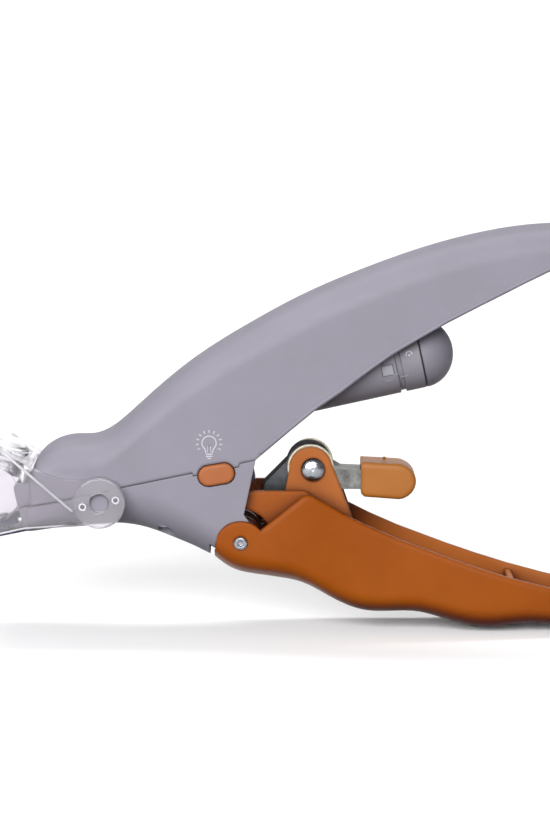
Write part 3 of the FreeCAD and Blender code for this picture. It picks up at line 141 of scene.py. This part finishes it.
def moulded(name, dark, light, rough, texture=0.006, grain=6000, specular=0.35, edge=0.25, light_split=None,
             painted_hollow_shade=None):
    """Moulded plastic: a little flow mottling, a fine spark-eroded texture and faint handling scuffs.

    A split (axis, low, high, dark, light) gives the plastic a second pair of tones beyond high: painted light,
    the same plastic drawn lighter or darker by how light falls on it.
    A deep tone is painted shade: the colour falls to it inside narrow hollows found by ambient occlusion.
    """
    mat, tree, bsdf = shader(name)
    flow = noise(tree, 60, 3.0, 0.55)
    colour = ramp(tree, flow, [(0.3, dark), (0.7, light)])
    if light_split:
        axis, low, high, other_dark, other_light = light_split
        other = ramp(tree, flow, [(0.3, other_dark), (0.7, other_light)])
        colour = blend_colours(tree, along(tree, axis, low, high, axis == "Y"), colour, other)
    # Painted shade: ambient occlusion darkens the colour towards the deep tone inside hollows.
    if painted_hollow_shade:
        hollow = node(tree, "ShaderNodeAmbientOcclusion", {"Distance": 0.014}, samples=6)
        share = spread(tree, hollow.outputs["AO"], 1.0, 0.0, 0.30, 0.80)
        colour = blend_colours(tree, share, colour, ramp(tree, flow, [(0.3, painted_hollow_shade), (0.7, painted_hollow_shade)]))
    tree.links.new(colour, bsdf.inputs["Base Color"])
    scuff = noise(tree, 420, 6.0, 0.7)
    tree.links.new(spread(tree, scuff, rough - 0.05, rough + 0.07), bsdf.inputs["Roughness"])
    bump(tree, bsdf, [(noise(tree, grain, 2.0, 0.5), texture, 0.6), (noise(tree, 35, 2.0, 0.5), 0.12, 0.15)],
         edge)
    bsdf.inputs["Specular IOR Level"].default_value = specular
    return mat


def clear(name, tint, rough, ior=1.49, waviness=0.02, milk=0.0):
    """Clear moulded plastic with faint flow waves and hairline scratches."""
    mat, tree, bsdf = shader(name)
    bsdf.inputs["Transmission Weight"].default_value = 1.0 - milk
    bsdf.inputs["IOR"].default_value = ior
    flow = noise(tree, 45, 2.0, 0.5)
    tree.links.new(ramp(tree, flow, [(0.25, tint), (0.75, [min(255, c + 4) for c in tint])]),
                   bsdf.inputs["Base Color"])
    hair = noise(tree, 900, 4.0, 0.6, (1.0, 1.0, 0.06))
    tree.links.new(spread(tree, hair, rough, rough + 0.05), bsdf.inputs["Roughness"])
    bump(tree, bsdf, [(noise(tree, 60, 1.5, 0.5), waviness, 0.3)], 0.45)
    return mat


def steel(name, dark, light, rough, speckle=0.0, brush=(1.0, 1.0, 1.0), speck_size=1800, light_split=None):
    """Plated or finished steel: broad clouding, fine grain and, for zinc, dark crystalline specks.

    A split (axis, low, high, dark, light) gives the steel a second pair of tones beyond high: painted light
    and shade, the same steel in a shaded and a lit pair of tones.
    """
    mat, tree, bsdf = shader(name)
    bsdf.inputs["Metallic"].default_value = 1.0
    cloud = noise(tree, 240, 5.0, 0.65)
    colour = ramp(tree, cloud, [(0.3, dark), (0.7, light)])
    if speckle:
        where = node(tree, "ShaderNodeTexCoord")
        cells = node(tree, "ShaderNodeTexVoronoi", {"Scale": speck_size, "Randomness": 1.0})
        tree.links.new(where.outputs["Object"], cells.inputs["Vector"])
        spots = node(tree, "ShaderNodeMapRange", {"From Min": 0.12, "From Max": 0.3, "To Min": speckle,
                                                  "To Max": 0.0})
        tree.links.new(cells.outputs["Distance"], spots.inputs["Value"])
        flecks = ramp(tree, noise(tree, 500), [(0.4, (40, 36, 30)), (0.6, (80, 72, 60))])
        colour = blend_colours(tree, spots.outputs["Result"], colour, flecks)
    if light_split:
        axis, low, high, other_dark, other_light = light_split
        other = ramp(tree, cloud, [(0.3, other_dark), (0.7, other_light)])
        colour = blend_colours(tree, along(tree, axis, low, high), colour, other)
    tree.links.new(colour, bsdf.inputs["Base Color"])
    grain = noise(tree, 2500, 5.0, 0.7, brush)
    tree.links.new(spread(tree, grain, rough - 0.08, rough + 0.12), bsdf.inputs["Roughness"])
    bump(tree, bsdf, [(grain, 0.01, 0.4)])
    return mat


GREY = moulded("grey_abs", (119, 116, 126), (124, 121, 132), 0.56, specular=0.25, edge=0.5)
GRIP_GREY = moulded("grey_abs_grip", (119, 116, 126), (124, 121, 132), 0.56, specular=0.25, edge=1.1)
# Painted shade: the tube and its cap are darker copies of the grey plastic, standing in for the shade under
# the grip.
TUBE_GREY_SHADED = moulded("grey_abs_tube_shaded", (118, 115, 124), (124, 121, 130), 0.54, specular=0.25)
CAP_GREY_SHADED = moulded("grey_abs_cap_shaded", (112, 109, 119), (117, 114, 125), 0.54, specular=0.25)
# Painted light and shade: the lever's ears and inner panel, less than 10 mm from the middle, keep the lighter
# tones, the outer walls take the darker pair, and hollows fall to painted shade.
ORANGE_LIT_AND_SHADED = moulded("orange_resin_painted_light", (145, 81, 34), (153, 88, 40), 0.42, 0.003, specular=0.14, edge=1.2,
                 light_split=("Y", 10.0, 10.8, (127, 60, 3), (136, 67, 5)), painted_hollow_shade=(62, 14, 2))
BUTTON = moulded("button_resin", (140, 77, 37), (147, 84, 43), 0.45, 0.002, specular=0.3, edge=0.4)
OCHRE = moulded("ochre_resin", (139, 82, 22), (147, 89, 28), 0.40, 0.003, specular=0.3, edge=1.6)
CLEAR = clear("clear_hood", (234, 231, 236), 0.05, ior=1.38, milk=0.06)
# Painted highlight: the hood's ridge and cheek beads are made milky so they read as bright edge lines.
BEAD_HIGHLIGHT = clear("clear_bead_highlight", (232, 231, 235), 0.12, milk=0.4)
HUB = clear("clear_hub", (235, 233, 238), 0.08, milk=0.07)
LENS = clear("magnifier", (252, 252, 254), 0.0, waviness=0.0)
# Painted shade: the lock lever is drawn dark as shaded steel up to X 7.4 mm; its tail beyond X 8 mm has the
# zinc tones.
ZINC_AND_PAINTED_SHADE = steel("zinc_plate_painted_shade", (44, 45, 48), (70, 71, 74), 0.36,
             light_split=("X", 7.4, 8.0, (62, 61, 60), (132, 131, 128)), speckle=0.75, speck_size=1100)
SCREW = steel("screw_nickel", (104, 106, 112), (160, 162, 168), 0.22, brush=(1.0, 6.0, 1.0))
CREAM = steel("washer_zinc", (150, 144, 128), (196, 190, 172), 0.30)
BLUED = steel("blued_steel", (38, 40, 52), (66, 68, 84), 0.30, speckle=0.5)
BLADE = steel("blade_ground", (56, 58, 64), (92, 94, 100), 0.26, brush=(0.2, 6.0, 1.0))
# Painted highlight: the polished tops of the hood's heat stakes are drawn as white rings.
STAKE_HIGHLIGHT = moulded("stake_top_highlight", (206, 205, 210), (216, 215, 220), 0.5, 0.001)
PRINT = moulded("pale_ink", (172, 170, 178), (182, 180, 188), 0.5, 0.001)
# Pale pane in the tube's side; on the tube's guide ridges the same pale tone is a painted highlight.
PALE_PANE_AND_HIGHLIGHT = moulded("pale_pane_and_ridge_highlight", (138, 136, 144), (150, 148, 156), 0.5, 0.001)
RUBBER = moulded("black_rubber", (14, 14, 16), (24, 24, 27), 0.62, 0.01)
RESIN = clear("lamp_resin", (250, 246, 228), 0.08, 1.54)
BOARD = moulded("solder_mask", (22, 84, 44), (30, 98, 54), 0.35, 0.002)
RED = moulded("red_sleeve", (160, 24, 22), (184, 36, 30), 0.42, 0.002)
BLACK = moulded("black_sleeve", (18, 18, 20), (32, 32, 36), 0.42, 0.002)
FINISH = {
    "upper_housing": GRIP_GREY, "lower_housing": GREY, "battery_tube": TUBE_GREY_SHADED, "battery_cap": CAP_GREY_SHADED,
    "lever_handle": ORANGE_LIT_AND_SHADED, "led_button": BUTTON, "lock_grip": OCHRE, "hood_shell": CLEAR,
    "magnifier_lens": LENS, "hub_disc_near": HUB, "hub_disc_far": HUB, "pivot_screw": SCREW,
    "drive_pin": SCREW, "lock_rivet": SCREW, "lock_washers": CREAM, "lock_lever": ZINC_AND_PAINTED_SHADE,
    "blade_carrier": BLUED, "cutting_blade": BLADE, "blade_rivets": SCREW, "ring_plate": BLUED,
    "plate_rivets": SCREW, "cap_seal": RUBBER, "button_cells": BLADE, "front_contact": SCREW,
    "cap_contact": SCREW, "return_spring": BLUED, "led_lamp": RESIN, "switch_board": BOARD,
    "tact_switch": RUBBER, "housing_screws": SCREW, "wire_live": RED, "wire_return": BLACK,
}
for name, finish in FINISH.items():
    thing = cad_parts[name]
    thing.data.materials.clear()
    thing.data.materials.append(finish)


# ---------------------------------------------------------------- printed marks and small trim
def frame_at(x, y, z, tilt):
    """A frame whose own z axis leans forward from +X by tilt, with +Y kept: the tube's frame."""
    forward = Vector((math.cos(tilt), 0.0, math.sin(tilt)))
    across = Vector((0.0, 1.0, 0.0))
    matrix = Matrix((across.cross(forward), across, forward)).transposed().to_4x4()
    matrix.translation = Vector((x, y, z)) * MM
    return matrix


def add_piece(name, bm, body, finish):
    """Turn a bmesh into a piece that rides on a body."""
    bmesh.ops.recalc_face_normals(bm, faces=bm.faces)
    mesh = bpy.data.meshes.new(name)
    bm.to_mesh(mesh)
    bm.free()
    made = bpy.data.objects.new(name, mesh)
    bpy.context.scene.collection.objects.link(made)
    made.data.materials.append(finish)
    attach(made, body)
    return made


def skin(bm, rings, loop=False, smooth_until=0):
    """Join rings of vertices with quads; open ends are capped unless the rings close on themselves."""
    count = len(rings[0])
    for first, second in zip(rings, rings[1:] + rings[:1] if loop else rings[1:]):
        for k in range(count):
            after = (k + 1) % count
            face = bm.faces.new((first[k], first[after], second[after], second[k]))
            face.smooth = k < smooth_until
    if not loop:
        bm.faces.new(rings[0])
        bm.faces.new(rings[-1][::-1])


def stroke(bm, points, width, place, low, high, loop=False):
    """A flat bar of constant width along a line of (u, v) mm points; place puts (u, v, height) in metres."""
    count = len(points)
    edges = []
    for k, here in enumerate(points):
        before = points[(k - 1) % count] if loop or k else here
        after = points[(k + 1) % count] if loop or k < count - 1 else here
        run = Vector((after[0] - before[0], after[1] - before[1])).normalized()
        side = Vector((-run.y, run.x)) * (width / 2)
        edges.append([(here[0] + turn * side.x, here[1] + turn * side.y) for turn in (1, -1)])
    rings = []
    for (left, right) in edges:
        rings.append([bm.verts.new(place(*at, height)) for at, height in
                      ((left, low), (right, low), (right, high), (left, high))])
    skin(bm, rings, loop)


def arc(centre, radius, first, last, steps):
    """Points on an arc, angles in degrees."""
    turns = [math.radians(first + (last - first) * k / steps) for k in range(steps + 1)]
    return [(centre[0] + radius * math.cos(t), centre[1] + radius * math.sin(t)) for t in turns]


def on_side(u, v, height):
    """On the body's flat near side."""
    return Vector((u, -13.0 - height, v)) * MM


BULB = (-22.45, 48.1)
bm = bmesh.new()
glass = arc(BULB, 1.75, -50, 230, 28)
neck = [(BULB[0] - 0.75, BULB[1] - 2.45), (BULB[0] + 0.75, BULB[1] - 2.45)]
stroke(bm, [neck[1]] + glass + [neck[0]], 0.3, on_side, -0.05, 0.03)
for drop, half in ((2.75, 0.85), (3.3, 0.8), (3.8, 0.45)):
    stroke(bm, [(BULB[0] - half, BULB[1] - drop), (BULB[0] + half, BULB[1] - drop)], 0.3, on_side, -0.05, 0.03)
filament = [(-0.45, -2.3), (-0.25, -0.5), (0.0, -0.95), (0.25, -0.5), (0.45, -2.3)]
stroke(bm, [(BULB[0] + u, BULB[1] + v) for u, v in filament], 0.2, on_side, -0.05, 0.03)
for ray in range(11):
    turn = math.radians(-30 + 24 * ray)
    reach = [(BULB[0] + r * math.cos(turn), BULB[1] + r * math.sin(turn)) for r in (2.55, 3.3)]
    stroke(bm, reach, 0.3, on_side, -0.05, 0.03)
add_piece("bulb_print", bm, "housing", PRINT)

TUBE = frame_at(28.2, 0.0, 68.5, math.radians(12.41))
TUBE_RADIUS = 8.6


def on_tube(u, v, height):
    """On the battery tube: u runs along it from its mouth, v round it and up from its near side."""
    turn = v / TUBE_RADIUS
    reach = TUBE_RADIUS + height
    return TUBE @ (Vector((-reach * math.sin(turn), -reach * math.cos(turn), u)) * MM)


bm = bmesh.new()
stroke(bm, arc((-1.15, 1.35), 0.75, 200, -20, 14), 0.34, on_tube, -0.06, 0.03)
stroke(bm, arc((-1.15, 1.15), 0.16, 0, 330, 8), 0.3, on_tube, -0.06, 0.03, loop=True)
add_piece("lock_print", bm, "housing", PRINT)
# Painted highlight: the embossed guide ridges on the tube are drawn as pale strips.
bm = bmesh.new()
for first, last, v in ((-6.0, -4.7, -2.9), (-4.5, -2.3, -4.0), (-8.2, -6.2, -4.3)):
    stroke(bm, [(first, v), (last, v)], 0.28, on_tube, -0.06, 0.03)
stroke(bm, [(-4.0, -5.2), (-4.0, -7.0)], 0.28, on_tube, -0.06, 0.03)
add_piece("tube_marks", bm, "housing", PALE_PANE_AND_HIGHLIGHT)

# the pale pane let into the tube's side
pane = [(0.3 + 0.5 * k, -8.5) for k in range(6)] + [(2.8 - 0.5 * k, -5.7) for k in range(6)]
bm = bmesh.new()
rings = []
for reach in (6.9, 8.45):
    rings.append([bm.verts.new(TUBE @ (Vector((x, -math.sqrt(reach * reach - x * x), u)) * MM))
                  for x, u in pane])
skin(bm, rings)
add_piece("tube_pane", bm, "housing", PALE_PANE_AND_HIGHLIGHT)

# The white stake rings are a painted highlight on the polished stake tops.
STAKE_LINE = math.radians(11.7)
for side, label in ((-1, "near"), (1, "far")):
    bm = bmesh.new()
    for turn in (-1, 1):
        middle = (-49.5 + turn * 4.15 * math.cos(STAKE_LINE), 33.6 + turn * 4.15 * math.sin(STAKE_LINE))

        def on_disc(u, v, height):
            return Vector((u, side * (16.52 + height), v)) * MM

        stroke(bm, arc(middle, 0.78, 0, 345, 23), 0.36, on_disc, -0.12, 0.06, loop=True)
    add_piece("stake_rings_" + label, bm, "hood", STAKE_HIGHLIGHT)


def bead(bm, points, radius, side):
    """A half-round bead on a side wall, along (x, y, z) mm points on the wall; side is the wall's own."""
    rings = []
    for k, (x, y, z) in enumerate(points):
        before, after = points[max(k - 1, 0)], points[min(k + 1, len(points) - 1)]
        run = Vector((after[0] - before[0], after[2] - before[2])).normalized()
        size = radius * (0.5 if k in (0, len(points) - 1) else 1.0)
        ring = []
        for step in range(9):
            turn = math.pi * step / 8
            off, rise = size * math.cos(turn), size * math.sin(turn)
            ring.append(bm.verts.new(Vector((x - run.y * off, y + side * rise, z + run.x * off)) * MM))
        rings.append(ring)
    skin(bm, rings, smooth_until=8)


RIDGE = [(-73.5, 46.55), (-73.15, 46.22), (-64.6, 38.8), (-56.2, 31.5), (-55.9, 31.25)]
CHEEK = [(-84.2, 23.8), (-83.8, 23.86), (-76.0, 25.4), (-68.0, 27.2), (-60.0, 27.75), (-55.2, 28.0)]
RIM = [(-10.2, 12.75, 45.35), (-9.9, 12.75, 45.62), (-2.15, 12.6, 52.15), (4.05, 12.5, 57.2),
       (9.95, 12.35, 61.2), (14.35, 12.25, 64.6), (22.45, 12.1, 70.4), (36.25, 11.9, 78.5),
       (48.75, 11.7, 84.9), (60.75, 11.45, 90.9), (68.0, 11.05, 93.6), (70.0, 10.9, 94.0)]
for side, label in ((-1, "near"), (1, "far")):
    bm = bmesh.new()
    bead(bm, [(x, side * 15.25, z) for x, z in RIDGE], 0.36, side)
    bead(bm, [(x, side * 14.95, z) for x, z in CHEEK], 0.24, side)
    add_piece("hood_beads_" + label, bm, "hood", BEAD_HIGHLIGHT)
    bm = bmesh.new()
    bead(bm, [(x, side * y, z) for x, y, z in RIM], 0.55, side)
    add_piece("grip_rim_" + label, bm, "housing", GREY)

bm = bmesh.new()
rings = []
for height, radius in ((-0.4, 0.38), (0.12, 0.38), (0.3, 0.32), (0.36, 0.16)):
    rings.append([bm.verts.new(Vector((21.2 + radius * math.cos(math.pi * k / 8),
                                       2.5 + radius * math.sin(math.pi * k / 8), 42.02 + height)) * MM)
                  for k in range(16)])
skin(bm, rings)
add_piece("grip_nub", bm, "lock", OCHRE)

# ---------------------------------------------------------------- floor, light and camera
def plain(name, rgb, rough):
    """The stage's own matt material."""
    mat, tree, bsdf = shader(name)
    tree.links.new(ramp(tree, noise(tree, 3.0), [(0.3, rgb), (0.7, [c + 2 for c in rgb])]),
                   bsdf.inputs["Base Color"])
    bsdf.inputs["Roughness"].default_value = rough
    return mat


def cyclorama(name, near, far, rise, bend, half):
    """A floor that sweeps up into a wall behind the object, as one strip."""
    line = [(-near, 0.0), (far - bend, 0.0)]
    line += [(far - bend + bend * math.sin(k * math.pi / 24), bend - bend * math.cos(k * math.pi / 24))
             for k in range(1, 13)]
    line.append((far, rise))
    bm = bmesh.new()
    rows = [[bm.verts.new((x, y, z)) for x in (-half, half)] for y, z in line]
    for (a, b), (c, d) in zip(rows, rows[1:]):
        bm.faces.new((a, b, d, c)).smooth = True
    mesh = bpy.data.meshes.new(name)
    bm.to_mesh(mesh)
    bm.free()
    made = bpy.data.objects.new(name, mesh)
    bpy.context.scene.collection.objects.link(made)
    return made


floor = cyclorama("floor", 2.5, 2.5, 3.0, 1.0, 4.0)
floor.location = (0, 0, cad_low.z - 0.0003)
floor.data.materials.append(plain("paper", (244, 244, 245), 0.95))
floor.visible_diffuse = False

world = bpy.data.worlds.new("studio")
world.use_nodes = True
sky = world.node_tree
upward = node(sky, "ShaderNodeSeparateXYZ")
sky.links.new(node(sky, "ShaderNodeTexCoord").outputs["Generated"], upward.inputs["Vector"])
strength = spread(sky, upward.outputs["Z"], 0.02, 0.31, -0.45, 0.35)
sky.links.new(strength, sky.nodes["Background"].inputs["Strength"])
sky.nodes["Background"].inputs["Color"].default_value = (1.0, 1.0, 1.0, 1.0)
bpy.context.scene.world = world


def area_light(name, at, target, size, power):
    """A soft box that faces a point."""
    data = bpy.data.lights.new(name, "AREA")
    data.shape = "RECTANGLE"
    data.size, data.size_y = size
    data.energy = power
    lamp = bpy.data.objects.new(name, data)
    bpy.context.scene.collection.objects.link(lamp)
    lamp.location = at
    lamp.rotation_euler = (Vector(target) - Vector(at)).to_track_quat("-Z", "Y").to_euler()
    return lamp


MIDDLE = (cad_low + cad_high) / 2
area_light("key", (-0.25, -1.0, 0.46), MIDDLE, (1.2, 0.6), 24.5)
area_light("backdrop_wash", (0.0, 0.9, 2.2), (0.0, 1.9, 0.2), (3.0, 0.8), 58.0)

AIM = Vector((-6.25, 0.0, 53.9)) * MM
BACK = Vector((0.0, -math.cos(math.radians(8.0)), math.sin(math.radians(8.0))))
camera_data = bpy.data.cameras.new("camera")
camera_data.sensor_width = 36.0
camera_data.lens = 36.0 * 3000.0 / 825.0
camera_data.clip_start, camera_data.clip_end = 0.05, 20.0
camera = bpy.data.objects.new("camera", camera_data)
bpy.context.scene.collection.objects.link(camera)
camera.location = AIM + BACK * 0.75
camera.rotation_euler = (-BACK).to_track_quat("-Z", "Y").to_euler()
bpy.context.scene.camera = camera
bpy.context.scene.view_settings.view_transform = "Standard"

bpy.context.view_layer.update()
